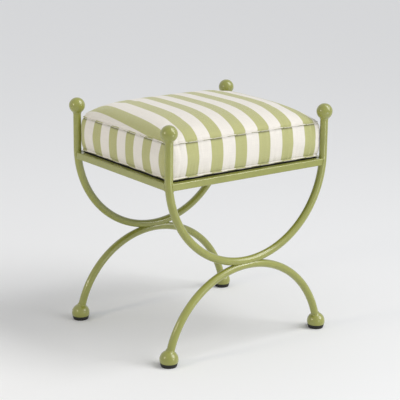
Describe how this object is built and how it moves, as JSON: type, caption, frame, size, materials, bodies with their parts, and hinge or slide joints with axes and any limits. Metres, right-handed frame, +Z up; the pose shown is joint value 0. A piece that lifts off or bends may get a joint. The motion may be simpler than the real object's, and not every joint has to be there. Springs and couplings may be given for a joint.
{
  "type": "stool",
  "caption": "Curule stool: bent-tube bows with ball finials on arched legs, square seat rails and a crowned, welted box cushion in striped cloth.",
  "frame": {"origin": "on the floor, midway between the four feet", "axes": "+X along the bows to the right, +Y from the front bow to the rear one, +Z up"},
  "size_m": [0.445, 0.386, 0.51],
  "materials": {
    "frame_paint": "satin sage-green coat",
    "pad_rubber": "matt black",
    "zinc_steel": "bright zinc",
    "plywood": "raw birch plywood",
    "seat_foam": "open-cell foam",
    "wadding": "polyester wadding",
    "striped_cotton": "green and white woven stripe",
    "black_lining": "black non-woven lining"
  },
  "bodies": {
    "root": {"front_bow": "frame_paint", "rear_bow": "frame_paint", "front_leg_arch": "frame_paint", "rear_leg_arch": "frame_paint", "front_rail": "frame_paint", "rear_rail": "frame_paint", "left_rail": "frame_paint", "right_rail": "frame_paint", "finial_front_left": "frame_paint", "finial_front_right": "frame_paint", "finial_rear_left": "frame_paint", "finial_rear_right": "frame_paint", "foot_ball_front_left": "frame_paint", "foot_ball_front_right": "frame_paint", "foot_ball_rear_left": "frame_paint", "foot_ball_rear_right": "frame_paint", "corner_plate_front_left": "frame_paint", "corner_plate_front_right": "frame_paint", "corner_plate_rear_left": "frame_paint", "corner_plate_rear_right": "frame_paint", "foot_pad_front_left": "pad_rubber", "foot_pad_front_right": "pad_rubber", "foot_pad_rear_left": "pad_rubber", "foot_pad_rear_right": "pad_rubber", "seat_screws": "zinc_steel", "seat_washers": "zinc_steel", "tee_nuts": "zinc_steel", "seat_board": "plywood", "foam_slab": "seat_foam", "crown_batting": "wadding", "top_panel": "striped_cotton", "boxing": "striped_cotton", "top_welt": "striped_cotton", "bottom_welt": "striped_cotton", "pull_strip": "black_lining", "dust_cover": "black_lining"}
  },
  "joints": []
}
